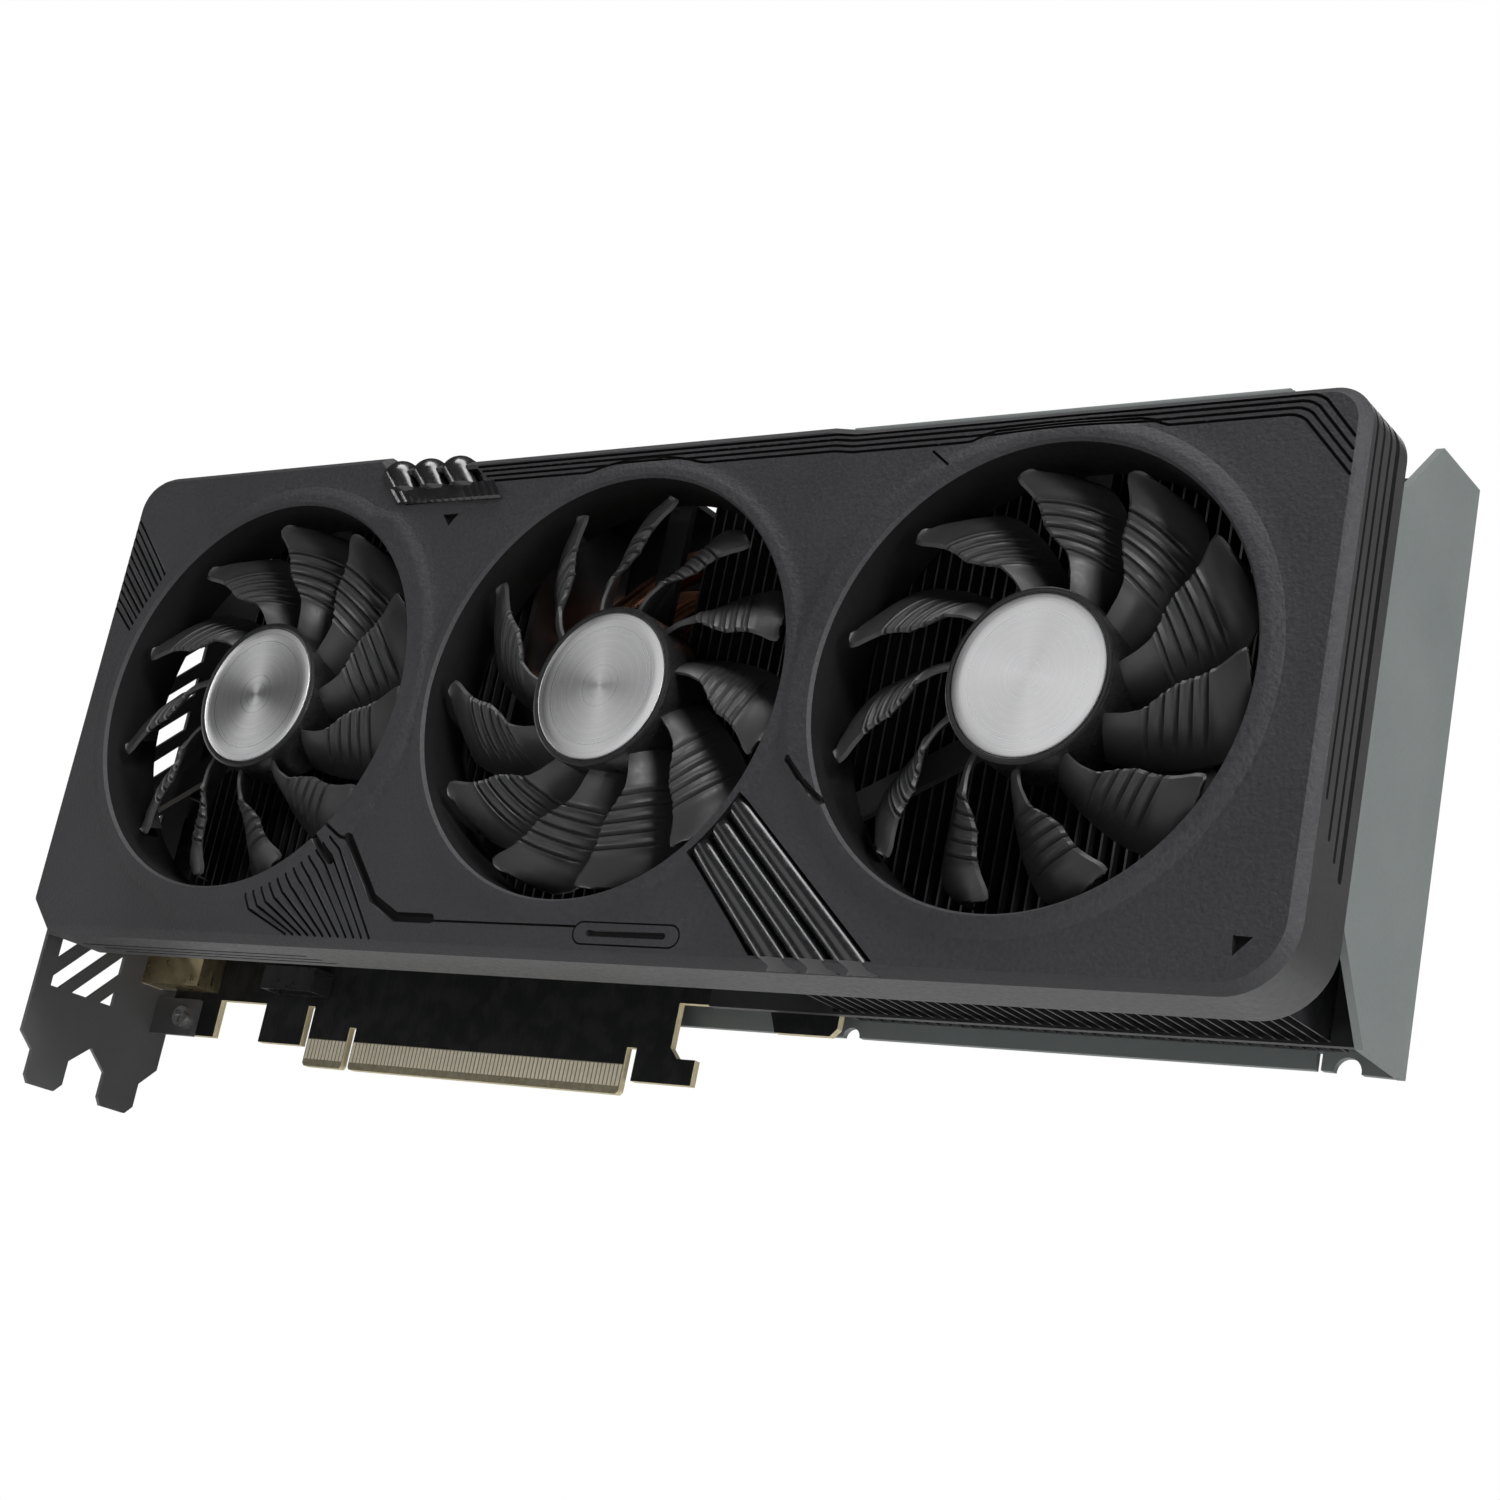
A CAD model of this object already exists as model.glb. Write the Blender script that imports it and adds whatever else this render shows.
"""Looks of the three-fan graphics card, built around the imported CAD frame.

Lengths are written in millimetres and turned into metres by MM. +X runs from the slot
bracket to the far end, the fans face -Y and +Z is up.
"""
import math

import bpy
import numpy as np
from mathutils import Matrix, Vector
from mathutils.geometry import delaunay_2d_cdt


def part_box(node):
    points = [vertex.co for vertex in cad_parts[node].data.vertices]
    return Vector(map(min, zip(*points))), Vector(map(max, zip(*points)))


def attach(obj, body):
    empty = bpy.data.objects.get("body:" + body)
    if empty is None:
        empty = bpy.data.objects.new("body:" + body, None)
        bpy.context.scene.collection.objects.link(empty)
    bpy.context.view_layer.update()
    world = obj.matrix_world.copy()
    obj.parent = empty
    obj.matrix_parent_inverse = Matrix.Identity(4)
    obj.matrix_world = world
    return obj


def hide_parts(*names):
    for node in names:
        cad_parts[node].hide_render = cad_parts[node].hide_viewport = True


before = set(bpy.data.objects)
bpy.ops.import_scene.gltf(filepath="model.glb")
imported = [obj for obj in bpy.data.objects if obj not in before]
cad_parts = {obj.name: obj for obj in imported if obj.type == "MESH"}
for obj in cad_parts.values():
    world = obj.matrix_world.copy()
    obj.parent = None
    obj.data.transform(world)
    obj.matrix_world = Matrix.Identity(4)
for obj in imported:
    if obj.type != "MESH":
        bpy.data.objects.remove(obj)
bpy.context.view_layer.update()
MM = 0.001

# ---------------------------------------------------------------- camera and light


def studio():
    """Camera, lights, white surroundings and the pale floor."""
    scene = bpy.context.scene
    forward = Vector((-0.58656, 0.76260, 0.27274)).normalized()
    roll = math.radians(11.46)
    level_right = forward.cross(Vector((0, 0, 1))).normalized()
    level_up = level_right.cross(forward)
    right = level_right * math.cos(roll) + level_up * math.sin(roll)
    up = right.cross(forward)
    data = bpy.data.cameras.new("photo_camera")
    data.lens = 63.37
    data.sensor_width = 36
    data.clip_start = 0.01
    data.clip_end = 50
    camera = bpy.data.objects.new("photo_camera", data)
    turn = Matrix((right, up, -forward)).transposed().to_4x4()
    camera.matrix_world = Matrix.Translation(Vector((386.25, -390.02, -70.19)) * MM) @ turn
    scene.collection.objects.link(camera)
    scene.camera = camera
    scene.view_settings.view_transform = "Standard"
    scene.view_settings.look = "None"

    world = bpy.data.worlds.new("white_studio")
    world.use_nodes = True
    tree = world.node_tree
    background = tree.nodes["Background"]
    background.inputs["Color"].default_value = (1, 1, 1, 1)
    path = tree.nodes.new("ShaderNodeLightPath")
    level = tree.nodes.new("ShaderNodeMapRange")
    level.inputs["To Min"].default_value = 0.04
    level.inputs["To Max"].default_value = 1.0
    tree.links.new(path.outputs["Is Camera Ray"], level.inputs["Value"])
    tree.links.new(level.outputs["Result"], background.inputs["Strength"])
    scene.world = world

    def softbox(name, place, target, size, power):
        light = bpy.data.lights.new(name, "AREA")
        light.shape = "RECTANGLE"
        light.size, light.size_y = size
        light.energy = power
        lamp = bpy.data.objects.new(name, light)
        aim = Vector(target) - Vector(place)
        lamp.matrix_world = (Matrix.Translation(Vector(place))
                             @ aim.to_track_quat("-Z", "Y").to_matrix().to_4x4())
        scene.collection.objects.link(lamp)

    middle = (0.085, -0.03, 0.06)
    softbox("key_softbox", (1.35, -0.8, 0.95), middle, (0.4, 0.4), 17)
    softbox("front_softbox", (-0.5, -1.5, 0.5), middle, (0.9, 0.9), 2.2)
    softbox("top_softbox", (0.1, -0.3, 1.3), middle, (1.4, 0.4), 13)
    softbox("right_softbox", (1.5, -0.3, 0.2), middle, (0.5, 1.0), 14)
    softbox("rear_softbox", (-0.4, 1.5, 0.8), middle, (1.0, 0.8), 9)
    softbox("left_strip", (-1.3, -0.55, 0.0), middle, (0.2, 1.0), 3)

    floor = mesh_object("floor", *grid_plane(1000, -250), [plain_floor()])


def grid_plane(half, z):
    corners = [(-half, -half, z), (half, -half, z), (half, half, z), (-half, half, z)]
    return corners, [(0, 1, 2, 3)]


# ---------------------------------------------------------------- materials

class Shader:
    """A material with helpers for its nodes."""

    def __init__(self, name, colour, roughness, metallic=0.0):
        self.material = bpy.data.materials.new(name)
        self.material.use_nodes = True
        self.tree = self.material.node_tree
        self.shader = self.tree.nodes["Principled BSDF"]
        self.set("Base Color", (*colour, 1))
        self.set("Roughness", roughness)
        self.set("Metallic", metallic)
        self.height = None
        self._place = None

    def set(self, socket, value):
        self.shader.inputs[socket].default_value = value
        return self

    def node(self, kind, links=None, **values):
        made = self.tree.nodes.new(kind)
        for key, value in values.items():
            setattr(made, key, value)
        for socket, source in (links or {}).items():
            if hasattr(source, "links"):
                self.tree.links.new(source, made.inputs[socket])
            else:
                made.inputs[socket].default_value = source
        return made

    @property
    def place(self):
        if self._place is None:
            self._place = self.node("ShaderNodeTexCoord").outputs["Object"]
        return self._place

    @property
    def facing(self):
        """The direction each face looks in, as an X, Y, Z splitter."""
        normal = self.node("ShaderNodeNewGeometry").outputs["True Normal"]
        return self.node("ShaderNodeSeparateXYZ", {"Vector": normal})

    def stretched(self, scale):
        return self.node("ShaderNodeMapping", {"Vector": self.place, "Scale": scale}).outputs["Vector"]

    def noise(self, scale, detail=2.0, roughness=0.5, vector=None):
        made = self.node("ShaderNodeTexNoise", {"Vector": vector or self.place, "Scale": scale,
                                                "Detail": detail, "Roughness": roughness})
        return made.outputs["Fac"]

    def cells(self, scale, vector=None):
        made = self.node("ShaderNodeTexVoronoi", {"Vector": vector or self.place, "Scale": scale})
        return made.outputs["Distance"]

    def spread(self, value, low, high, to_low, to_high):
        return self.node("ShaderNodeMapRange", {"Value": value, "From Min": low, "From Max": high,
                                                "To Min": to_low, "To Max": to_high}).outputs["Result"]

    def math(self, operation, a, b=0.0, c=0.0):
        made = self.node("ShaderNodeMath", operation=operation)
        for i, source in enumerate((a, b, c)):
            if hasattr(source, "links"):
                self.tree.links.new(source, made.inputs[i])
            else:
                made.inputs[i].default_value = source
        return made.outputs[0]

    def mix(self, factor, a, b):
        made = self.node("ShaderNodeMix", data_type="RGBA")
        for index, source in ((0, factor), (6, a), (7, b)):
            if hasattr(source, "links"):
                self.tree.links.new(source, made.inputs[index])
            else:
                made.inputs[index].default_value = (*source, 1) if isinstance(source, tuple) else source
        return made.outputs[2]

    def colour(self, source):
        self.tree.links.new(source, self.shader.inputs["Base Color"])
        return self

    def rough(self, source):
        self.tree.links.new(source, self.shader.inputs["Roughness"])
        return self

    def bump(self, height, depth, strength=1.0):
        links = {"Height": height, "Distance": depth * MM, "Strength": strength}
        if self.height is not None:
            links["Normal"] = self.height
        self.height = self.node("ShaderNodeBump", links).outputs["Normal"]
        self.tree.links.new(self.height, self.shader.inputs["Normal"])
        return self


def moulded(name, dark, light, roughness, grain, depth, gloss=0.5, blotch=60):
    """Moulded plastic: soft colour variation, a fine grain, and roughness that follows it."""
    s = Shader(name, dark, roughness)
    s.set("Specular IOR Level", gloss)
    s.colour(s.mix(s.spread(s.noise(blotch, 3), 0.3, 0.7, 0, 1), dark, light))
    fine = s.noise(grain, 3, 0.55)
    s.rough(s.spread(fine, 0.3, 0.7, roughness - 0.05, roughness + 0.07))
    if depth:
        s.bump(fine, depth)
    return s.material


def metal(name, dark, light, roughness, grain=500, stretch=(1, 1, 1), depth=0.01, amount=1.0):
    """Metal with a drawn or rolled grain."""
    s = Shader(name, dark, roughness, amount)
    lines = s.noise(grain, 3, 0.6, s.stretched(stretch))
    s.colour(s.mix(s.spread(lines, 0.3, 0.7, 0, 1), dark, light))
    s.rough(s.spread(lines, 0.3, 0.7, roughness - 0.05, roughness + 0.08))
    s.bump(lines, depth)
    return s.material


def plain_floor():
    s = Shader("pale_floor", (0.9, 0.9, 0.9), 0.9)
    s.colour(s.mix(s.spread(s.noise(2, 2), 0.3, 0.7, 0, 1), (0.88, 0.88, 0.88), (0.92, 0.92, 0.92)))
    return s.material


def sand_face():
    """The front of the shroud: a sandy moulded grain with the odd coarser fleck."""
    s = Shader("shroud_sand", (0.03, 0.03, 0.032), 0.62)
    s.set("Specular IOR Level", 0.3)
    grain = s.noise(1150, 2.5, 0.6)
    pits = s.cells(1500)
    tone = s.math("MULTIPLY_ADD", s.noise(35, 3), 0.4, s.math("MULTIPLY", grain, 0.6))
    s.colour(s.mix(s.spread(tone, 0.35, 0.65, 0, 1), (0.022, 0.022, 0.024), (0.036, 0.036, 0.039)))
    s.rough(s.spread(grain, 0.3, 0.7, 0.5, 0.72))
    s.bump(grain, 0.16).bump(pits, 0.05)
    return s.material


def brushed_cap():
    """Spun aluminium: fine rings about the fan axis, and a highlight that fans out."""
    s = Shader("spun_aluminium", (0.82, 0.82, 0.83), 0.3, 1.0)
    s.set("Anisotropic", 0.75)
    flat = s.node("ShaderNodeSeparateXYZ", {"Vector": s.place})
    radius = s.math("SQRT", s.math("ADD", s.math("POWER", flat.outputs["X"], 2.0),
                                   s.math("POWER", flat.outputs["Z"], 2.0)))
    ring = s.node("ShaderNodeCombineXYZ", {"X": radius}).outputs["Vector"]
    rings = s.noise(2600, 4, 0.7, ring)
    s.colour(s.mix(s.spread(rings, 0.3, 0.7, 0, 1), (0.72, 0.72, 0.73), (0.9, 0.9, 0.91)))
    s.rough(s.spread(rings, 0.3, 0.7, 0.24, 0.36))
    s.bump(rings, 0.012)
    tangent = s.node("ShaderNodeTangent", direction_type="RADIAL", axis="Y")
    s.tree.links.new(tangent.outputs["Tangent"], s.shader.inputs["Tangent"])
    return s.material


def board_black():
    """Black solder mask with faint tracks, and bare laminate at the cut edges."""
    s = Shader("board_black", (0.012, 0.012, 0.013), 0.35)
    s.set("Specular IOR Level", 0.15)
    facing = s.facing
    cut = s.math("LESS_THAN", s.math("ABSOLUTE", facing.outputs["Y"]), 0.5)
    where = s.node("ShaderNodeSeparateXYZ", {"Vector": s.place})
    tongue = s.math("MULTIPLY", s.math("LESS_THAN", where.outputs["Z"], 5.8 * MM),
                    s.math("MULTIPLY", s.math("GREATER_THAN", where.outputs["X"], -12.2 * MM),
                           s.math("LESS_THAN", where.outputs["X"], 72.2 * MM)))
    edge = s.math("MAXIMUM", cut, s.math("MULTIPLY", tongue, 0.45))
    tracks = s.node("ShaderNodeTexBrick", {"Vector": s.stretched((1, 1, 1)), "Scale": 160.0,
                                           "Mortar Size": 0.06, "Color1": (0.2, 0.2, 0.2, 1),
                                           "Color2": (0.4, 0.4, 0.4, 1), "Mortar": (1, 1, 1, 1)})
    mask = s.mix(s.spread(s.noise(220, 2), 0.45, 0.6, 0, 1), (0.008, 0.0085, 0.009), (0.015, 0.015, 0.015))
    laminate = s.mix(s.spread(s.noise(900, 3, 0.6, s.stretched((1, 6, 1))), 0.3, 0.7, 0, 1),
                     (0.40, 0.35, 0.22), (0.62, 0.56, 0.38))
    s.colour(s.mix(edge, mask, laminate))
    s.rough(s.spread(edge, 0, 1, 0.45, 0.7))
    s.bump(tracks.outputs["Fac"], 0.03)
    return s.material


def fin_metal():
    """Dark anodised fins whose cut edges catch the light."""
    s = Shader("fin_aluminium", (0.05, 0.05, 0.055), 0.4, 0.6)
    facing = s.facing
    edge = s.math("GREATER_THAN", s.math("ABSOLUTE", facing.outputs["Y"]), 0.8)
    s.colour(s.mix(edge, s.mix(s.noise(300, 2), (0.02, 0.02, 0.022), (0.045, 0.045, 0.048)),
                   s.mix(s.noise(500, 2), (0.08, 0.08, 0.083), (0.14, 0.14, 0.143))))
    s.rough(s.spread(s.noise(700, 2), 0.3, 0.7, 0.35, 0.5))
    s.bump(s.noise(600, 2), 0.02)
    return s.material


def backplate_paint():
    """Matt grey-green powder coat, darker and glossier where the sheet was cut."""
    s = Shader("backplate_grey", (0.16, 0.175, 0.172), 0.5, 0.25)
    fine = s.noise(1300, 3, 0.6)
    s.colour(s.mix(s.spread(s.noise(40, 3), 0.3, 0.7, 0, 1), (0.15, 0.167, 0.163), (0.17, 0.187, 0.183)))
    s.rough(s.spread(fine, 0.3, 0.7, 0.45, 0.6))
    s.bump(fine, 0.02)
    return s.material


def grey(level):
    return (level, level, level)


def make_materials():
    made = {
        "sand": sand_face(),
        "satin": moulded("shroud_satin", (0.030, 0.030, 0.031), (0.036, 0.036, 0.037), 0.42, 900, 0.02),
        "groove": moulded("groove_shadow", grey(0.004), grey(0.007), 0.6, 900, 0.02, 0.1),
        "throat": moulded("throat_plastic", grey(0.005), grey(0.008), 0.6, 700, 0.02, 0.15),
        "fan": moulded("fan_plastic", (0.026, 0.026, 0.027), (0.034, 0.034, 0.035), 0.44, 1000, 0.012, 0.4),
        "gloss": moulded("trim_gloss", (0.009, 0.009, 0.010), (0.014, 0.014, 0.015), 0.2, 900, 0, 0.7),
        "cap": brushed_cap(),
        "steel": metal("motor_steel", (0.35, 0.35, 0.36), (0.5, 0.5, 0.51), 0.4, 400, (1, 6, 1)),
        "screw_steel": metal("screw_steel", (0.5, 0.5, 0.5), (0.68, 0.68, 0.67), 0.3, 900),
        "spring_steel": metal("spring_steel", (0.42, 0.42, 0.43), (0.56, 0.56, 0.57), 0.32, 500, (1, 1, 8)),
        "screw_black": moulded("screw_black", grey(0.02), grey(0.035), 0.35, 900, 0.02, 0.7),
        "shaft_steel": metal("shaft_steel", (0.6, 0.6, 0.6), (0.75, 0.75, 0.75), 0.2, 900, (1, 8, 1)),
        "brass": metal("bearing_brass", (0.55, 0.40, 0.16), (0.72, 0.54, 0.25), 0.3, 700),
        "magnet": moulded("magnet", (0.05, 0.048, 0.045), (0.07, 0.067, 0.062), 0.6, 1200, 0.03),
        "green": moulded("board_green", (0.01, 0.05, 0.02), (0.015, 0.08, 0.03), 0.35, 300, 0.02),
        "fins": fin_metal(),
        "copper": metal("copper", (0.62, 0.27, 0.16), (0.80, 0.40, 0.26), 0.22, 260, (0.15, 1, 1), 0.02),
        "plate": moulded("plate_black", (0.010, 0.010, 0.011), (0.016, 0.016, 0.017), 0.45, 500, 0.02),
        "board": board_black(),
        "gold": metal("contact_gold", (0.80, 0.72, 0.55), (0.90, 0.83, 0.68), 0.38, 1200,
                      depth=0.003, amount=0.35),
        "package": moulded("package_green", (0.01, 0.045, 0.03), (0.015, 0.06, 0.04), 0.4, 500, 0.01),
        "silicon": metal("silicon", (0.10, 0.11, 0.14), (0.16, 0.17, 0.21), 0.15, 300),
        "chip": moulded("chip_black", (0.015, 0.015, 0.016), (0.024, 0.024, 0.025), 0.5, 1500, 0.02),
        "pad": moulded("pad_grey", (0.30, 0.32, 0.38), (0.38, 0.40, 0.46), 0.8, 900, 0.05),
        "choke": moulded("choke_grey", (0.12, 0.12, 0.125), (0.17, 0.17, 0.175), 0.6, 1500, 0.05),
        "can": metal("can_aluminium", (0.6, 0.6, 0.6), (0.75, 0.75, 0.75), 0.3, 700),
        "socket": moulded("socket_black", (0.010, 0.010, 0.010), (0.016, 0.016, 0.016), 0.4, 900, 0.02),
        "header": moulded("header_black", (0.010, 0.010, 0.010), (0.018, 0.018, 0.018), 0.3, 600, 0.02),
        "bracket": moulded("bracket_black", (0.050, 0.050, 0.051), (0.064, 0.064, 0.065), 0.34, 1400,
                           0.012, 0.7),
        "shell": metal("shell_gold", (0.62, 0.50, 0.26), (0.80, 0.68, 0.42), 0.3, 300, (1, 5, 1)),
        "black_shell": metal("shell_black", (0.03, 0.03, 0.032), (0.06, 0.06, 0.062), 0.35, 300, (1, 5, 1)),
        "backplate": backplate_paint(),
        "hub": moulded("hub_black", grey(0.006), grey(0.010), 0.3, 900, 0.01),
    }
    return made


# ---------------------------------------------------------------- mesh helpers

def mesh_object(name, points, faces, materials, slots=None, sharp=32, origin=(0, 0, 0)):
    """A mesh from points in millimetres, smooth apart from edges sharper than sharp degrees."""
    mesh = bpy.data.meshes.new(name)
    shift = np.array(origin, float)
    mesh.from_pydata([tuple((np.array(p, float) - shift) * MM) for p in points], [],
                     [tuple(int(i) for i in f) for f in faces])
    for material in materials:
        mesh.materials.append(material)
    if slots is not None:
        mesh.polygons.foreach_set("material_index", np.array(slots, np.int32))
    mesh.polygons.foreach_set("use_smooth", np.ones(len(mesh.polygons), bool))
    mesh.set_sharp_from_angle(angle=math.radians(sharp))
    mesh.update()
    made = bpy.data.objects.new(name, mesh)
    made.location = shift * MM
    bpy.context.scene.collection.objects.link(made)
    return made


class Parts:
    """Points, faces and material slots gathered from several shapes into one mesh."""

    def __init__(self):
        self.points, self.faces, self.slots = [], [], []

    def add(self, points, faces, slot=0):
        base = len(self.points)
        self.points.extend(points)
        self.faces.extend([tuple(base + i for i in f) for f in faces])
        self.slots.extend([slot] * len(faces) if isinstance(slot, int) else slot)

    def build(self, name, materials, sharp=32, origin=(0, 0, 0)):
        return mesh_object(name, self.points, self.faces, materials, self.slots, sharp, origin)


def strip(rows, closed=False, flip=False):
    """Quads between rows of equal length."""
    points = [p for row in rows for p in row]
    n = len(rows[0])
    faces = []
    for i in range(len(rows) - 1):
        for j in range(n if closed else n - 1):
            a, b = i * n + j, i * n + (j + 1) % n
            quad = (a, b, b + n, a + n)
            faces.append(quad[::-1] if flip else quad)
    return points, faces


def lathe(profile, centre, count=96):
    """Turns a profile of (radius, y) about the fan axis through centre (x, z)."""
    rows = [[(centre[0] + r * math.cos(2 * math.pi * k / count), y,
              centre[1] + r * math.sin(2 * math.pi * k / count)) for k in range(count)]
            for r, y in profile]
    return strip(rows, closed=True)


def tube(path, radius, count=20):
    """A round bar along a path, closed at both ends."""
    path = [Vector(p) for p in path]
    rows = []
    side = None
    for i, p in enumerate(path):
        along = (path[min(i + 1, len(path) - 1)] - path[max(i - 1, 0)]).normalized()
        if side is None:
            side = along.orthogonal().normalized()
        side = (side - along * side.dot(along)).normalized()
        other = along.cross(side)
        rows.append([tuple(p + radius * (side * math.cos(2 * math.pi * k / count)
                                         + other * math.sin(2 * math.pi * k / count)))
                     for k in range(count)])
    points, faces = strip(rows, closed=True)
    faces.append(tuple(range(count))[::-1])
    faces.append(tuple(range(len(points) - count, len(points))))
    return points, faces


def filleted(corners, radius, steps=8):
    """A path whose corners are rounded."""
    corners = [Vector(c) for c in corners]
    path = [corners[0]]
    for before, here, after in zip(corners, corners[1:], corners[2:]):
        a, b = (before - here), (after - here)
        reach = min(radius, a.length * 0.48, b.length * 0.48)
        start, end = here + a.normalized() * reach, here + b.normalized() * reach
        for k in range(steps + 1):
            t = k / steps
            path.append(start.lerp(here, t).lerp(here.lerp(end, t), t))
    path.append(corners[-1])
    return path


def polar(centre, radius, angle):
    """The point at a radius and an angle in radians about a centre."""
    return (centre[0] + radius * math.cos(angle), centre[1] + radius * math.sin(angle))


def circle(centre, radius, count):
    return [polar(centre, radius, a) for a in np.linspace(0, 2 * math.pi, count, endpoint=False)]


def smooth_step(x):
    x = np.clip(x, 0, 1)
    return x * x * (3 - 2 * x)


# ---------------------------------------------------------------- flat relief

def offset_loop(path, width, closed=False, cap=5):
    """The loop, or two loops of a closed path, at a distance width either side of it."""
    path = [np.array(p, float) for p in path]
    n = len(path)

    def sided(i, sign):
        before = path[i - 1] if i > 0 or closed else None
        after = path[(i + 1) % n] if i < n - 1 or closed else None
        d0 = path[i] - before if before is not None else after - path[i]
        d1 = after - path[i] if after is not None else d0
        d0, d1 = d0 / np.linalg.norm(d0), d1 / np.linalg.norm(d1)
        n0, n1 = np.array([-d0[1], d0[0]]), np.array([-d1[1], d1[0]])
        miter = n0 + n1
        miter /= np.linalg.norm(miter)
        return path[i] + sign * miter * width / max(miter.dot(n0), 0.5)

    if closed:
        return [[sided(i, s) for i in range(n)] for s in (1, -1)]
    loop = [sided(i, 1) for i in range(n)]
    for end, inner in ((n - 1, n - 2), (0, 1)):
        along = path[end] - path[inner]
        angle = math.atan2(along[1], along[0])
        loop += [path[end] + width * np.array([math.cos(angle + a), math.sin(angle + a)])
                 for a in np.linspace(math.pi / 2, -math.pi / 2, cap + 2)[1:-1]]
        if end:
            loop += [sided(i, -1) for i in range(n - 1, -1, -1)]
    return [loop]


class Groove:
    """A channel along a path: its half width, depth, and the share of its width that is floor."""

    def __init__(self, path, half, depth, floor=0.45, closed=False):
        self.path = [np.array(p, float) for p in path]
        self.half, self.depth, self.floor, self.closed = half, depth, floor, closed

    def loops(self):
        return (offset_loop(self.path, self.half, self.closed)
                + offset_loop(self.path, self.half * self.floor, self.closed))

    def sink(self, points):
        ends = self.path + [self.path[0]] if self.closed else self.path
        near = np.full(len(points), 1e9)
        for a, b in zip(ends, ends[1:]):
            d = b - a
            t = np.clip(((points - a) @ d) / (d @ d), 0, 1)
            near = np.minimum(near, np.linalg.norm(points - a - t[:, None] * d, axis=1))
        return self.depth * np.clip((self.half - near) / (self.half * (1 - self.floor)), 0, 1)


class Pocket:
    """A sunken convex shape with straight walls."""

    def __init__(self, corners, depth, wall=0.25):
        self.corners = [np.array(c, float) for c in corners]
        self.depth, self.wall = depth, wall
        following = self.corners[1:] + self.corners[:1]
        area = sum(a[0] * b[1] - b[0] * a[1] for a, b in zip(self.corners, following))
        if area < 0:
            self.corners.reverse()

    def inside(self, points):
        near = np.full(len(points), 1e9)
        for a, b in zip(self.corners, self.corners[1:] + self.corners[:1]):
            d = (b - a) / np.linalg.norm(b - a)
            near = np.minimum(near, (points - a) @ np.array([-d[1], d[0]]))
        return near

    def loops(self):
        n = len(self.corners)
        inner = []
        for i in range(n):
            a, b, c = self.corners[i - 1], self.corners[i], self.corners[(i + 1) % n]
            d0, d1 = (b - a) / np.linalg.norm(b - a), (c - b) / np.linalg.norm(c - b)
            n0, n1 = np.array([-d0[1], d0[0]]), np.array([-d1[1], d1[0]])
            m = (n0 + n1) / np.linalg.norm(n0 + n1)
            inner.append(b + m * self.wall / max(m.dot(n0), 0.3))
        return [self.corners, inner]

    def sink(self, points):
        return self.depth * np.clip(self.inside(points) / self.wall, 0, 1)


class TrimPocket(Pocket):
    """A pocket that stops at the collar of a fan opening."""

    def __init__(self, corners, depth, collar):
        super().__init__(corners, depth)
        self.collar, self.reach = np.array(collar), RING_OUT + 0.1

    def inside(self, points):
        return np.minimum(super().inside(points), np.linalg.norm(points - self.collar, axis=1) - self.reach)

    def loops(self):
        return super().loops() + [circle(self.collar, self.reach + step, 240) for step in (0.0, self.wall)]


def relief(loops, loose, keep, features):
    """Triangles over a flat region with every loop as an edge. Returns points, faces and sinks."""
    points = [tuple(p) for p in loose]
    edges = []
    for loop, closed in loops:
        base = len(points)
        points += [tuple(p) for p in loop]
        n = len(loop)
        edges += [(base + i, base + (i + 1) % n) for i in range(n if closed else n - 1)]
    out, _, faces, *_ = delaunay_2d_cdt([Vector(p) for p in points], edges, [], 0, 1e-5)
    flat = np.array([tuple(p) for p in out])
    tri = np.array([f for f in faces if len(f) == 3])
    centre = flat[tri].mean(1)
    tri = tri[keep(centre)]
    centre = flat[tri].mean(1)
    sink = np.zeros(len(flat))
    deep = np.zeros(len(tri), bool)
    for feature in features:
        sink = np.maximum(sink, feature.sink(flat))
        deep |= feature.sink(centre) > 0.25 * feature.depth
    used = np.unique(tri)
    back = np.full(len(flat), -1)
    back[used] = np.arange(len(used))
    return flat[used], back[tri], sink[used], deep


# ---------------------------------------------------------------- shroud

FANS = ("left", "middle", "right")


def fan_centre(which):
    low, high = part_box(f"fan_{which}_cap")
    return ((low.x + high.x) / 2 / MM, (low.z + high.z) / 2 / MM)


CENTRES = {which: fan_centre(which) for which in FANS}
shroud_low, shroud_high = [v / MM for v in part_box("shroud")]
FACE_Y = -47.0
LEFT, RIGHT = shroud_low.x, shroud_high.x
BOTTOM, TOP = shroud_low.z, shroud_high.z
TOP_MIDDLE, TOP_RIGHT = 113.4, 112.4
BEVEL = 2.0
CREASE = 1.7
SKIRT_Y = -31.0
THROAT_Y = -34.3
OPENING = 40.4
RING_OUT = 42.2
WALL = 1.8


def body_outline(inset=0.0, steps=14):
    """The outline of the shroud in X and Z, anticlockwise from the lower left chamfer.

    The top edge is full height on the left only and steps down under the top trim.
    """
    l, r, b, t = LEFT + inset, RIGHT - inset, BOTTOM + inset, TOP - inset
    cut = 6.5 - inset * 0.59

    def corner(cx, cz, radius, start):
        return [(cx + radius * math.cos(a), cz + radius * math.sin(a))
                for a in np.radians(np.linspace(start, start + 90, steps))]

    low = TOP_RIGHT - inset
    points = [(l, b + cut), (l + cut, b)]
    points += corner(r - 12 + inset, b + 12 - inset, 12 - inset, -90)
    points += corner(r - 7 + inset, low - 7 + inset, 7 - inset, 0)
    points += [(132.5, low), (125.5, TOP_MIDDLE - inset), (20.3 - inset * 0.41, TOP_MIDDLE - inset),
               (17.7 - inset * 0.41, t)]
    points += corner(l + 8 - inset, t - 8 + inset, 8 - inset, 90)
    return points


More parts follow.
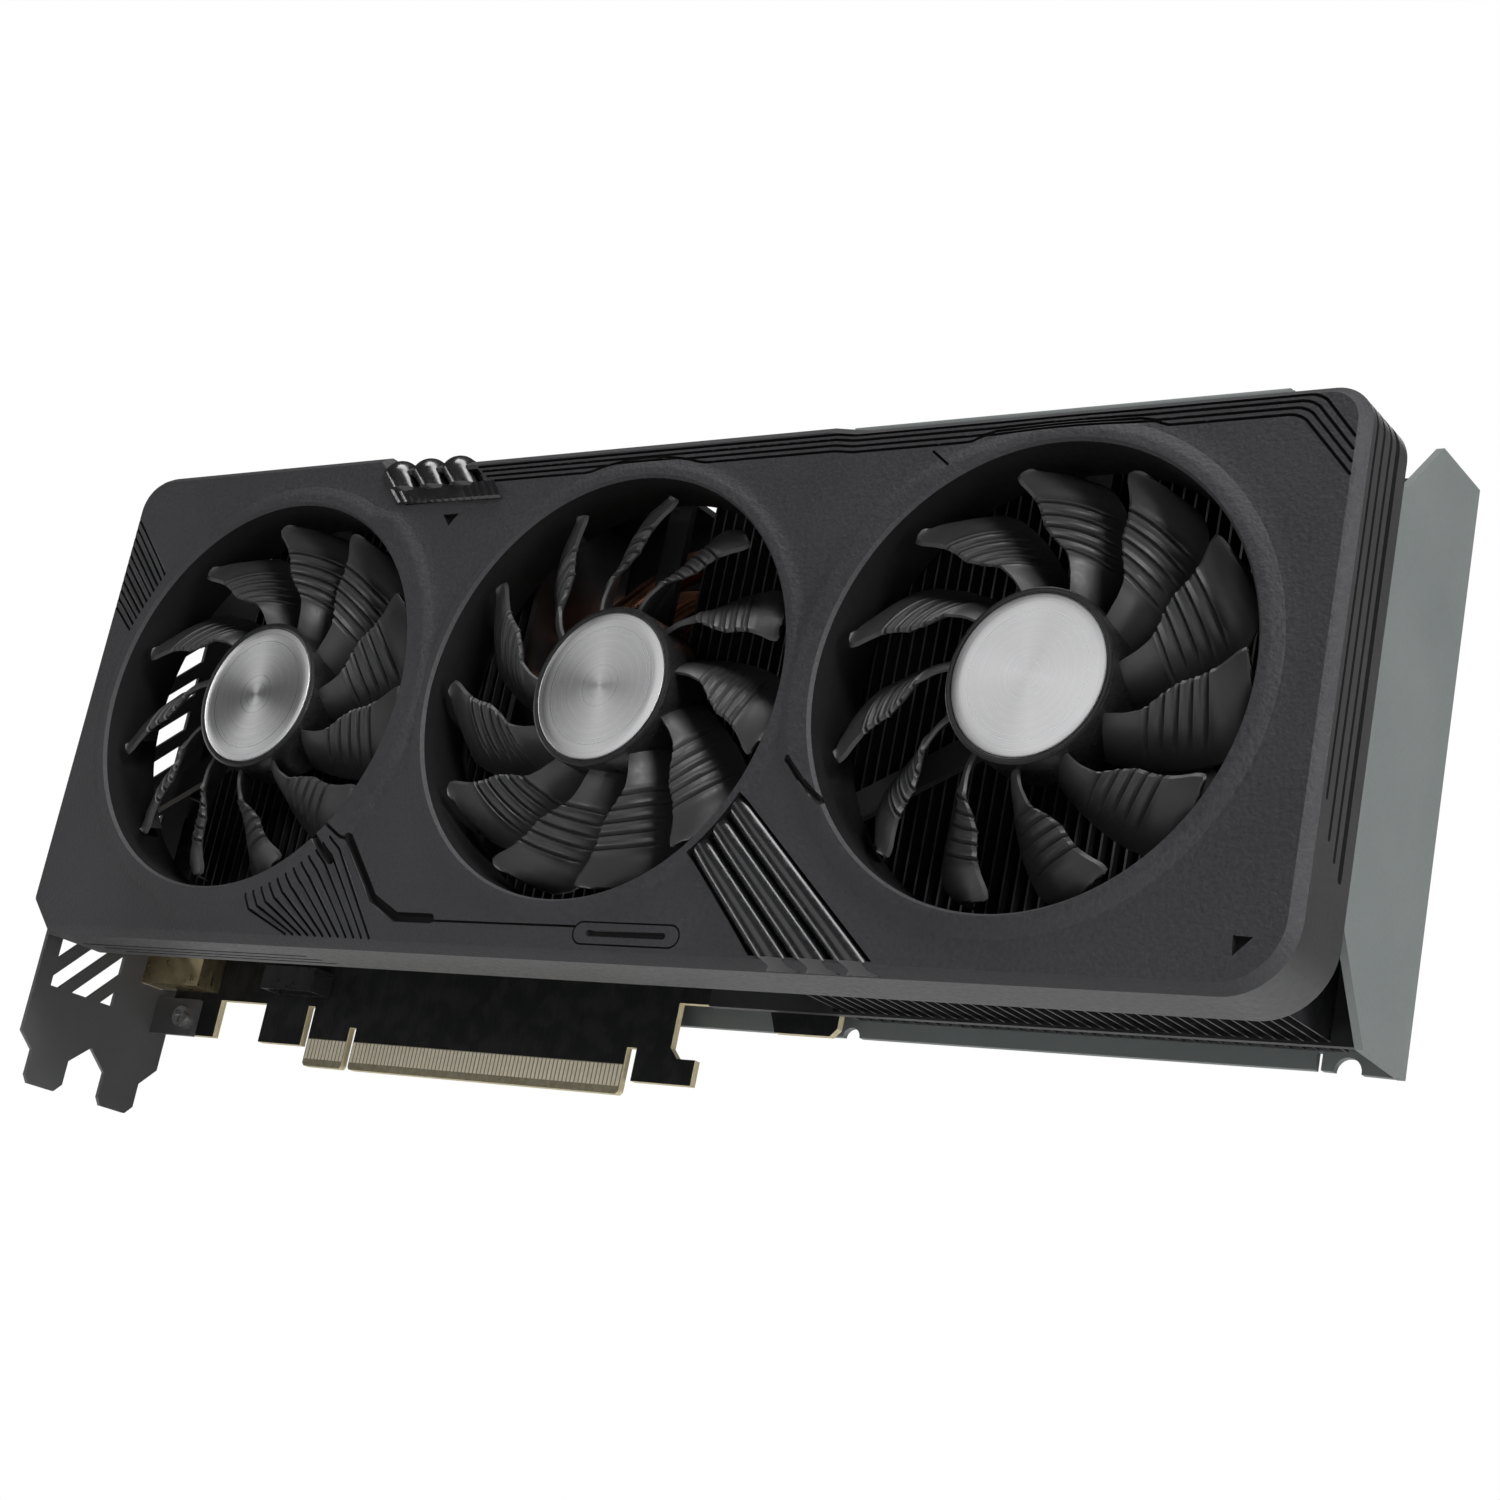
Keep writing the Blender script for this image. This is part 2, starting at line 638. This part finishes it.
def depth_inside(points, outline):
    """Distance inward from an outline; negative outside."""
    near = np.full(len(points), 1e9)
    crossings = np.zeros(len(points), int)
    ring = [np.array(p) for p in outline]
    for a, b in zip(ring, ring[1:] + ring[:1]):
        d = b - a
        t = np.clip(((points - a) @ d) / (d @ d), 0, 1)
        near = np.minimum(near, np.linalg.norm(points - a - t[:, None] * d, axis=1))
        if a[1] != b[1]:
            spans = (a[1] > points[:, 1]) != (b[1] > points[:, 1])
            crossings += spans & (points[:, 0] < a[0] + (points[:, 1] - a[1]) * d[0] / d[1])
    return np.where(crossings % 2 == 1, near, -near)


# corners of the two trims' places: upper left, lower left, lower right, upper right
DIAGONAL = ((113.2, 34.5), (130.4, BOTTOM + 2.2), (154.8, BOTTOM + 2.2), (122.0, 45.3))
FOOT = ((18.9, 110.8), (26.4, 104.2), (51.6, 104.2), (43.4, 110.8))


TRIM_DEPTH = 1.9
# reach, height and wide sector of each collar
LIPS = ((49.5, 1.2, (252, 60, 12)), (46.4, 0.7, None), (49.5, 1.2, (110, 206, 30)))


class Bevel:

    def __init__(self):
        self.outline = body_outline()

    def sink(self, points):
        s = np.clip(np.abs(depth_inside(points, self.outline)), 0, CREASE) / CREASE
        return BEVEL * (1 - s) * (0.35 * (1 - s) + 0.65)


class Lip:
    """The raised collar round a fan opening: a flat ring, a steep shoulder, then a soft run-out.

    Over a sector given as (start, end, fade) in degrees the ring is wider.
    """

    def __init__(self, centre, reach, height, sector=None):
        self.centre, self.reach, self.height, self.sector = np.array(centre), reach, height, sector

    def ring_edge(self, angle):
        if self.sector is None:
            return np.full(np.shape(angle), RING_OUT)
        start, end, fade = self.sector
        inside = np.minimum((angle - start) % 360 / fade, (end - angle) % 360 / 8)
        inside = np.where((angle - start) % 360 <= (end - start) % 360, np.clip(inside, 0, 1), 0)
        return RING_OUT + 2.5 * inside

    def loops(self):
        angles = np.linspace(0, 2 * math.pi, 180, endpoint=False)
        edges = self.ring_edge(np.degrees(angles))
        return [[self.centre + (edge + step) * np.array([math.cos(a), math.sin(a)])
                 for a, edge in zip(angles, edges)] for step in (0.0, 2.4)]

    def rise(self, points):
        rel = points - self.centre
        r = np.linalg.norm(rel, axis=1)
        beyond = r - self.ring_edge(np.degrees(np.arctan2(rel[:, 1], rel[:, 0])) % 360)
        shoulder = 0.62 * np.clip(1 - beyond / 2.4, 0, 1)
        run_out = 0.38 * (1 - smooth_step(beyond / (self.reach - RING_OUT - 2.5)))
        edge = 0.7 * np.clip((OPENING + 0.5 - r) / 0.5, 0, 1)
        return self.height * np.where(beyond > 0, shoulder + run_out, 1.0) - edge


JOG_X = 127.0
CROWDING = (("middle", 44.6), ("right", 45.9))
TOP_LINES = ((43.7, 111.1, 111.2, 102.9), (45.0, 110.1, 110.55, 100.7), (46.4, 109.0, 109.9, 98.6),
             (48.0, 107.9, 109.25, 96.5))


def along_the_top(start, z, pinch):
    """A line along the top edge, crowded up against it where a collar swells below."""
    path = []
    for x in np.linspace(start, 206, 130):
        height = z - 0.5 * float(smooth_step((x - JOG_X) / 5))
        limit = pinch - (0.9 if x > JOG_X + 2 else 0.0)
        for which, reach in CROWDING:
            cx, cz = CENTRES[which]
            if abs(x - cx) < reach:
                height = max(height, min(cz + math.sqrt(reach ** 2 - (x - cx) ** 2), limit))
        path.append((x, height))
    return path


def top_lines():
    """Four channels along the top edge that turn down to the right edge."""
    channels = []
    for start, z, pinch, drop in TOP_LINES:
        path = along_the_top(start, z, pinch)
        level = path[-1][1]
        turn = RIGHT - 3.0 - (level - drop) * 0.95
        path = [p for p in path if p[0] < turn - 2]
        path += [(turn + step, level - step * step / 8) for step in (0, 1, 2, 3)]
        path.append((RIGHT - 1.9, drop))
        channels.append(Groove(path, 0.27, 0.5))
    return channels


def left_lines(count=11):
    """Short channels that fan out at the left edge."""
    channels = []
    for t in np.linspace(0, 1, count):
        outer = (LEFT + 1.5, 106.0 - 20.1 * t)
        channels.append(Groove([outer, (-38.9 - 6.4 * t, 92.5 - 12.2 * t)], 0.32, 0.4))
    return channels


def lower_lines(count=12):
    """Channels that leave the left collar at right angles and bend down to the lower edge."""
    channels = []
    centre = np.array(CENTRES["left"])
    for t in np.linspace(0, 1, count):
        out = np.array((10.2 + 19.4 * t, 24.6 + 10.4 * t)) - centre
        out /= np.linalg.norm(out)
        foot = (22.6 + 21.8 * t, BOTTOM + 1.9)
        channels.append(Groove([centre + out * (RING_OUT + 1.8), centre + out * (RING_OUT + 4.6), foot],
                               0.27, 0.42))
    return channels


def pill_line(centre, half_length, half_height):
    """A closed channel round a slot with round ends."""
    run = half_length - half_height
    path = [polar((centre[0] + run, centre[1]), half_height, a)
            for a in np.radians(np.linspace(-90, 90, 9))]
    path += [polar((centre[0] - run, centre[1]), half_height, a)
             for a in np.radians(np.linspace(90, 270, 9))]
    return Groove(path, 0.16, 0.35, closed=True)


def face_features():
    """Every channel, pocket and mark cut into the front of the shroud."""
    pill = (103.9, 19.1)
    spike = [polar(CENTRES["right"], radius, math.radians(angle))
             for radius, angle in ((45.2, 199), (43.6, 204), (42.0, 209), (40.9, 213))]
    return left_lines() + lower_lines() + [
        Groove([(24.6, 35.6), (29.9, 30.9)], 0.8, 0.7),
        Groove([(27.3, 37.9), (31.6, 35.4), (33.4, 35.2)], 0.35, 0.5),
        Groove([(33.4, 35.4), (42.9, 23.9), (49.7, 20.5), (58.3, 20.5)], 0.95, 0.8, 0.6),
        Groove([(58.6, 20.1), (92.5, 20.2)], 0.22, 0.4),
        pill_line(pill, 11.6, 2.0),
        Groove([(pill[0] - 8.1, pill[1]), (pill[0] + 8.1, pill[1])], 0.6, 0.4),
        Pocket([(37.2, 101.5), (41.3, 101.5), (39.3, 99.0)], 0.8),
        Pocket([(216.6, 23.2), (219.9, 23.0), (216.9, 20.0)], 0.8),
        TrimPocket(DIAGONAL, TRIM_DEPTH, CENTRES["middle"]),
        Pocket(FOOT, TRIM_DEPTH)] + top_lines() + [
        Groove(spike, 0.7, 0.6, 0.2),
        Groove([(148.3, 106.2), (152.4, 103.0)], 0.25, 0.45)]


def wall_path():
    """The outline and how far along it each point lies."""
    outline = body_outline()
    outline.append(outline[0])
    along = np.concatenate([[0], np.cumsum([math.dist(a, b) for a, b in zip(outline, outline[1:])])])
    return outline, along


# along the right end: lowest point, distance behind the bevel, half width and depth
END_LINES = ((45.8, 1.7, 0.38, 0.5), (40.2, 4.4, 0.42, 0.55), (37.6, 7.2, 0.42, 0.55),
             (35.6, 10.0, 0.75, 1.0))
# along the underside: distance behind the bevel, left end and right end
UNDER_LINES = ((7.0, -44, 20), (9.4, -40, 22), (11.6, -36, 24))


def add_walls(parts):
    """The side walls, unrolled along the outline so that channels can be cut across them."""
    path, along = wall_path()
    total = along[-1]
    right_low = next(a for p, a in zip(path, along) if abs(p[0] - RIGHT) < 1e-6)

    def up_the_end(z):
        return right_low + (z - (BOTTOM + 12))

    top_end = up_the_end(TOP - 2)
    front = FACE_Y + BEVEL
    grooves = [Groove([(up_the_end(low), front + y), (top_end + 9, front + y)], half, depth)
               for low, y, half, depth in END_LINES]
    corner_x = path[1][0]
    grooves += [Groove([(along[1] + x - corner_x, front + y) for x in ends], 0.3, 0.5)
                for y, *ends in UNDER_LINES]
    loops = [([(0, front), (0, SKIRT_Y), (total, SKIRT_Y), (total, front)], True)]
    loops += [([(a, front), (a, SKIRT_Y)], False) for a in along[1:-1]]
    for groove in grooves:
        loops += [(loop, True) for loop in groove.loops()]
    loose = np.array([(a, y) for a in np.arange(2.5, total, 5) for y in (front + 5, front + 10)])

    def on_wall(centre):
        return (centre[:, 0] > 0) & (centre[:, 0] < total)

    flat, tri, sink, deep = relief(loops, loose, on_wall, grooves)
    xs = np.interp(flat[:, 0], along, [p[0] for p in path])
    zs = np.interp(flat[:, 0], along, [p[1] for p in path])
    index = np.clip(np.searchsorted(along, flat[:, 0]) - 1, 0, len(path) - 2)
    heading = np.array([np.subtract(path[i + 1], path[i]) / max(math.dist(path[i], path[i + 1]), 1e-9)
                        for i in range(len(path) - 1)])[index]
    points = [(x - h[1] * s, y, z + h[0] * s) for x, z, h, s, y in
              zip(xs, zs, heading, sink, flat[:, 1])]
    parts.add(points, [tuple(t) for t in tri], [1 if d else 2 for d in deep])


def build_shroud(m):
    """The whole shell: the face with its relief, the walls, their rim and the throats."""
    parts = Parts()
    outline = body_outline()
    centres = [np.array(CENTRES[w]) for w in FANS]
    lips = [Lip(centre, *shape) for centre, shape in zip(centres, LIPS)]
    reaches = [lip.reach for lip in lips]
    cuts = face_features()
    bevel = Bevel()

    loops = [(body_outline(), True), (body_outline(CREASE / 2), True), (body_outline(CREASE), True)]
    loose = []
    for centre, reach in zip(centres, reaches):
        for radius in (OPENING, OPENING + 0.5, RING_OUT):
            loops.append((circle(centre, radius, 180), True))
        for radius in np.arange(RING_OUT + 0.6, reach + 1.5, 0.9):
            loose += circle(centre, radius, 200)
    step = 2.2
    for row, z in enumerate(np.arange(BOTTOM + 2.2, TOP - 2.0, step * 0.87)):
        for x in np.arange(LEFT + 2.2 + (row % 2) * step / 2, RIGHT - 2.0, step):
            if all(np.linalg.norm(np.array((x, z)) - c) > r + 1.8 for c, r in zip(centres, reaches)):
                loose.append((x, z))
    loose = np.array(loose)
    loose = loose[depth_inside(loose, outline) > CREASE + 0.4]
    for feature in cuts:
        loops += [(loop, True) for loop in feature.loops()]
    for lip in lips:
        loops += [(loop, True) for loop in lip.loops()]

    def keep(centre):
        inside = depth_inside(centre, outline) > 0
        for c in centres:
            inside &= np.linalg.norm(centre - c, axis=1) > OPENING - 0.02
        return inside

    flat, tri, sink, deep = relief(loops, loose, keep, cuts)
    rise = np.max([lip.rise(flat) for lip in lips], axis=0)
    sink = sink + bevel.sink(flat) - rise
    points = [(x, FACE_Y + s, z) for (x, z), s in zip(flat, sink)]
    slots = [1 if d else 0 for d in deep]
    parts.add(points, [tuple(t) for t in tri], slots)

    add_walls(parts)

    # rim of the skirt, and the walls' inner faces
    inner = body_outline(WALL)
    rows = [[(x, SKIRT_Y, z) for x, z in outline], [(x, SKIRT_Y, z) for x, z in inner],
            [(x, FACE_Y + 2.4 + 2.0, z) for x, z in inner]]
    parts.add(*strip(rows, closed=True), 2)
    for centre, lip in zip(centres, lips):
        profile = [(OPENING, FACE_Y - lip.height + 0.7), (OPENING, THROAT_Y), (OPENING + WALL, THROAT_Y),
                   (OPENING + WALL, FACE_Y + 3.2)]
        parts.add(*lathe(profile, centre, 180), 3)
    shroud = parts.build("shroud_shell", [m["sand"], m["groove"], m["satin"], m["throat"]], sharp=24)
    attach(shroud, "card")
    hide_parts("shroud")


# ---------------------------------------------------------------- trims

def build_diagonal_trim(m):
    """Three glossy half-round ridges from the middle opening down over the lower edge."""
    radius, crest = 2.55, 0.9
    top_left, low_left = np.array((113.2, 34.5)), np.array((131.0, BOTTOM + BEVEL))
    top_right, low_right = np.array((122.0, 45.3)), np.array((154.6, BOTTOM + BEVEL))
    centre = np.array(CENTRES["middle"])
    parts = Parts()
    rows = []
    samples = np.linspace(-1.5, 1.5, 97)
    for s in samples:
        f = (s + 1.5) / 3
        high = top_left * (1 - f) + top_right * f
        low = low_left * (1 - f) + low_right * f
        d = (low - high) / np.linalg.norm(low - high)
        near = high - centre
        b = near @ d
        t = -b + math.sqrt(max(b * b - (near @ near - (RING_OUT + 0.3) ** 2), 0))
        high = high + d * t
        nearest = min(max(round(s), -1), 1)
        side = s - nearest
        rise = math.sqrt(max(0.25 - side * side, 0)) * 2 * radius * 0.95
        start_y = FACE_Y - crest + radius - rise
        row = [(high[0], FACE_Y + 1.5, high[1])]
        for k in np.linspace(0, 1, 12):
            p = high + (low - high) * k
            row.append((p[0], start_y + 0.25 * (1 - min(k * 6, 1)), p[1]))
        over = d * 2.6
        flat_y = start_y * 0.25 + (FACE_Y + 0.2) * 0.75
        row.append((low[0] + over[0] * 0.06, start_y + 0.25, low[1] + over[1] * 0.06))
        row.append((low[0] + over[0] * 1.05, flat_y + 1.5, max(low[1] + over[1] * 1.05, BOTTOM + 0.15)))
        row.append((low[0] + over[0] * 1.15, FACE_Y + 3.2, BOTTOM + 0.1))
        rows.append(row)
    points, faces = strip(rows)
    parts.add(points, faces)
    trim = parts.build("diagonal_ridges", [m["gloss"]], sharp=28)
    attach(trim, "card")
    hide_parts("diagonal_trim")


def build_top_trim(m):
    """Three leaning half-round bars that turn back over the top edge, and the foot they end on."""
    lean, half, rise = 0.95, 3.75, 2.6
    base = FACE_Y + 1.3
    bend_z, crease_z, foot_z = 111.4, 107.9, 104.5
    parts = Parts()
    for centre in (21.4, 29.15, 36.95):
        rows = []
        for theta in np.radians(np.linspace(-90, 90, 25)):
            across, up = half * math.sin(theta), rise * math.cos(theta)
            foot_shift = lean * (bend_z - crease_z)
            row = [(centre + across + foot_shift + 1.2, base + 0.4 - up * 0.5, crease_z - 1.2),
                   (centre + across + foot_shift, base - up, crease_z)]
            row.append((centre + across, base - up, bend_z))
            for phi in np.radians(np.linspace(0, 90, 9))[1:]:
                turned = math.sin(phi)
                row.append((centre + across - 0.6 * turned, base + turned - up * math.cos(phi),
                            bend_z + turned + up * turned))
            row.append((centre + across - 0.6, -36.0, bend_z + 1.0 + up))
            rows.append(row)
        parts.add(*strip(rows))
    left, right = 21.3, 48.6
    reach = lean * (crease_z - foot_z)
    rows = []
    for x in np.linspace(left, right, 60):
        ripple = 0.12 * math.cos(2 * math.pi * (x - left) / 1.9)
        t = (x - left) / (right - left)
        front = FACE_Y - 0.55 - 0.55 * t
        rows.append([(x - 0.4, base, crease_z + 0.7), (x, FACE_Y - 0.2 + ripple * 0.5, crease_z),
                     (x + reach, front + ripple, foot_z + 0.2 - 0.4 * t),
                     (x + reach, front + 0.5, foot_z - 0.1 - 0.5 * t),
                     (x + reach - 0.6, FACE_Y + 1.6, foot_z)])
    parts.add(*strip(rows))
    for row in (rows[0], rows[-1]):
        parts.add(row, [tuple(range(len(row)))])
    shoulder = [(40.6, base + 0.2, 112.2), (44.2, base - 0.2, 111.2), (48.6, FACE_Y - 0.1, crease_z),
                (44.0, base, crease_z)]
    parts.add(shoulder, [(0, 1, 2, 3)])
    trim = parts.build("top_ridges", [m["gloss"]], sharp=28)
    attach(trim, "card")
    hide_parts("top_trim")


# ---------------------------------------------------------------- rotors

BLADES = 11
LEAD = [(14.6, 8.8), (18.5, 13), (21.8, 18), (24, 25), (26.6, 30), (29, 31.5), (31, 33), (33.2, 35.5),
        (35.6, 38.5), (37.0, 39.5), (37.6, 38.4), (37.9, 36)]
TRAIL = [(14.6, -15), (20, -5), (25, 2), (30, 8), (34, 13), (36.6, 18), (37.6, 23), (37.9, 30)]
RIBS = (22.4, 24.5, 26.6, 28.8, 31.2)
PHASES = {"left": -4.0, "middle": -2.7, "right": 0.0}
HUB_FRONT = -46.3
HUB_R = 15.4
CAP_R = 14.2


def blade_rows():
    radii = set(np.round(np.linspace(14.6, 37.9, 30), 3))
    for r in RIBS:
        radii |= {r - 0.75, r - 0.42, r - 0.2, r, r + 0.2, r + 0.42, r + 0.75}
    radii |= {37.3, 37.6, 37.8}
    return sorted(radii)


def blade(parts, mirror, turn, centre):
    columns = 18
    lead_r, lead_a = zip(*LEAD)
    trail_r, trail_a = zip(*TRAIL)
    rows = []
    for r in blade_rows():
        a0, a1 = np.interp(r, lead_r, lead_a), np.interp(r, trail_r, trail_a)
        front, back = [], []
        outer = float(smooth_step((r - 31) / 7))
        y0 = -44.7 + 0.5 * float(smooth_step((18 - r) / 4))
        y1 = -35.7 - 1.6 * outer
        for k in range(columns + 1):
            u = k / columns
            angle = a0 + (a1 - a0) * u
            bow = 1.1 * math.sin(math.pi * min(u * 1.05, 1)) * (1 - 0.5 * outer)
            y = y0 + (y1 - y0) * (u ** (1.05 + 0.25 * outer)) - bow
            near = min(RIBS, key=lambda g: abs(g - r))
            d = abs(r - near)
            fade = 1 - float(smooth_step((u - 0.62) / 0.25))
            swell = 0.22 if RIBS[0] - 1.2 < r < RIBS[-1] + 1.2 else 0.0
            cut = 0.42 * max(0, 1 - d / 0.3) - 0.16 * math.exp(-((d - 0.48) / 0.18) ** 2)
            shape = (cut - swell * math.sin(math.pi * min(d / 1.05, 1))) * fade
            thick = 1.25 * (1 - 0.45 * u) * (1 - 0.3 * outer)
            round_off = math.sqrt(max(1 - (1 - min(u / 0.05, 1)) ** 2, 0)) if u < 0.05 else 1.0
            for side, row in ((0, front), (1, back)):
                lift = -thick / 2 * round_off if side == 0 else thick / 2 * round_off
                height = y + lift + (shape if side == 0 else 0)
                height = min(max(height, -45.9), -34.95)
                a = math.radians(angle + turn)
                x = r * math.cos(a)
                row.append((centre[0] + (-x if mirror else x), height, centre[1] + r * math.sin(a)))
        rows.append(front + back[::-1])
    points, faces = strip(rows, closed=True, flip=mirror)
    n = len(rows[0])
    half = columns + 1
    tip = len(points) - n
    for k in range(half - 1):
        quad = (tip + k, tip + k + 1, tip + n - 2 - k, tip + n - 1 - k)
        faces.append(quad if not mirror else quad[::-1])
    parts.add(points, faces, 0)


def build_rotor(which, m):
    centre = CENTRES[which]
    parts = Parts()
    for k in range(BLADES):
        blade(parts, which == "middle", PHASES[which] + 360 / BLADES * k, centre)
    hub = [(3.0, -44.0), (CAP_R + 0.05, -44.0), (CAP_R + 0.05, HUB_FRONT + 0.1), (CAP_R + 0.2, HUB_FRONT),
           (HUB_R - 0.45, HUB_FRONT + 0.02), (HUB_R - 0.15, HUB_FRONT + 0.15), (HUB_R, HUB_FRONT + 0.5),
           (HUB_R + 0.1, -42.0), (HUB_R + 0.15, -36.4), (HUB_R - 0.3, -36.2), (14.1, -36.2), (14.1, -43.5),
           (3.0, -43.5)]
    parts.add(*lathe(hub, centre), 1)
    rotor = parts.build(f"rotor_{which}", [m["fan"], m["hub"]], sharp=38,
                        origin=(centre[0], -41, centre[1]))
    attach(rotor, f"{which}_rotor")
    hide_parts(f"fan_{which}_rotor")

    cap = [(0.001, HUB_FRONT - 0.08), (4, HUB_FRONT - 0.078), (8, HUB_FRONT - 0.06), (12, HUB_FRONT - 0.02),
           (CAP_R - 0.35, HUB_FRONT), (CAP_R - 0.12, HUB_FRONT + 0.06), (CAP_R, HUB_FRONT + 0.25),
           (CAP_R, HUB_FRONT + 0.5)]
    disc = Parts()
    disc.add(*lathe(cap, centre, 128))
    cover = disc.build(f"cap_{which}", [m["cap"]], sharp=40, origin=(centre[0], HUB_FRONT, centre[1]))
    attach(cover, f"{which}_rotor")
    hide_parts(f"fan_{which}_cap")


# ---------------------------------------------------------------- heat pipes

def build_pipes(m):
    """Smoothly bent copper pipes along the runs of the CAD ones."""
    low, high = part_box("heat_pipes")
    y_rear, y_front = high.y / MM - 3, low.y / MM + 3
    end = high.x / MM - 3.1
    paths = [[(-25, y_rear, z), (end, y_rear, z)] for z in (42, 51, 60)]
    parts = Parts()
    for path in paths:
        parts.add(*tube(path, 3.0))
    for z, shift in ((76, 0), (84, 6)):
        x1 = 60 - shift
        corners = [(59, y_rear, z), (-32.0, y_rear, z), (-32.0, y_front, z), (x1 + 3, y_front, z),
                   (x1 + 24.7, y_front, z + 16), (end, y_front, z + 16)]
        parts.add(*tube(filleted(corners, 6), 3.0))
    pipes = parts.build("bent_pipes", [m["copper"]], sharp=45)
    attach(pipes, "card")
    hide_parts("heat_pipes")


def sheet_edge(parts, section, left, right):
    """A folded sheet of constant section from left to right, with its ends closed."""
    rows = [[(x, y, z) for y, z in section] for x in (left, left + 0.3, right - 0.3, right)]
    points, faces = strip(rows, closed=True)
    n = len(section)
    ends = [tuple(range(n)), tuple(range(len(points) - n, len(points)))[::-1]]
    parts.add(points, faces + ends)


def build_hood_lip(m):
    """The turned front edge of the backplate's hood over the right half."""
    low, high = [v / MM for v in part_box("backplate")]
    top, front, thick = high.z, low.y, 1.2
    section = [(front + 0.3, top), (front - 0.9, top - 0.05), (front - 1.7, top - 0.45),
               (front - 1.9, top - 1.0), (front - 1.9, top - thick - 0.3), (front - 1.4, top - thick - 0.3),
               (front - 1.2, top - thick), (front + 0.3, top - thick)]
    parts = Parts()
    sheet_edge(parts, section, 124.2, 207.8)
    lip = parts.build("hood_lip", [m["backplate"]], sharp=35)
    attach(lip, "card")


def build_top_fold(m):
    """The turned top edge of the plate under the heatsink, with the gap beside the power socket."""
    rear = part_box("mid_plate")[1].y / MM
    under, over, front = 113.8, 115.0, -30.0
    section = [(rear - 1.6, under - 1.2), (rear - 1.4, under - 0.4), (rear - 2.2, under),
               (front + 0.8, under), (front, under + 0.4), (front, over - 0.4), (front + 0.8, over),
               (rear, over), (rear, under - 1.2)]
    parts = Parts()
    for left, right in ((-51.8, 75.0), (87.0, 95.0)):
        sheet_edge(parts, section, left, right)
    fold = parts.build("top_fold", [m["plate"]], sharp=30)
    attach(fold, "card")


# ---------------------------------------------------------------- finishes of the CAD parts

FINISH = {
    "frame": "fan", "stator": "steel", "board": "green", "bearing": "brass", "magnet": "magnet",
    "shaft": "shaft_steel", "rotor": "fan", "cap": "cap",
    "shroud": "sand", "diagonal_trim": "gloss", "top_trim": "gloss",
    "fan_screws": "screw_steel", "shroud_screws": "screw_steel",
    "fins_left": "fins", "fins_middle": "fins", "fins_right": "fins",
    "heat_pipes": "copper", "cold_plate": "copper", "mid_plate": "plate", "circuit_board": "board",
    "edge_contacts": "gold", "gpu_package": "package", "gpu_die": "silicon", "memory_chips": "chip",
    "thermal_pads": "pad", "power_stages": "chip", "chokes": "choke", "capacitors": "can",
    "power_socket": "socket", "fan_header": "header", "io_bracket": "bracket",
    "displayport_sockets": "black_shell", "hdmi_socket": "shell", "bracket_screws": "screw_steel",
    "backplate": "backplate", "board_standoffs": "brass", "backplate_screws": "screw_black",
    "retention_plate": "spring_steel", "retention_screws": "screw_steel",
}


def finish_cad(m):
    for name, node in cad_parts.items():
        key = FINISH.get(name) or FINISH[name.split("_")[-1]]
        node.data.materials.clear()
        node.data.materials.append(m[key])


materials = make_materials()
studio()
finish_cad(materials)
build_shroud(materials)
build_diagonal_trim(materials)
build_top_trim(materials)
for fan in FANS:
    build_rotor(fan, materials)
build_pipes(materials)
build_hood_lip(materials)
build_top_fold(materials)

bpy.context.view_layer.update()
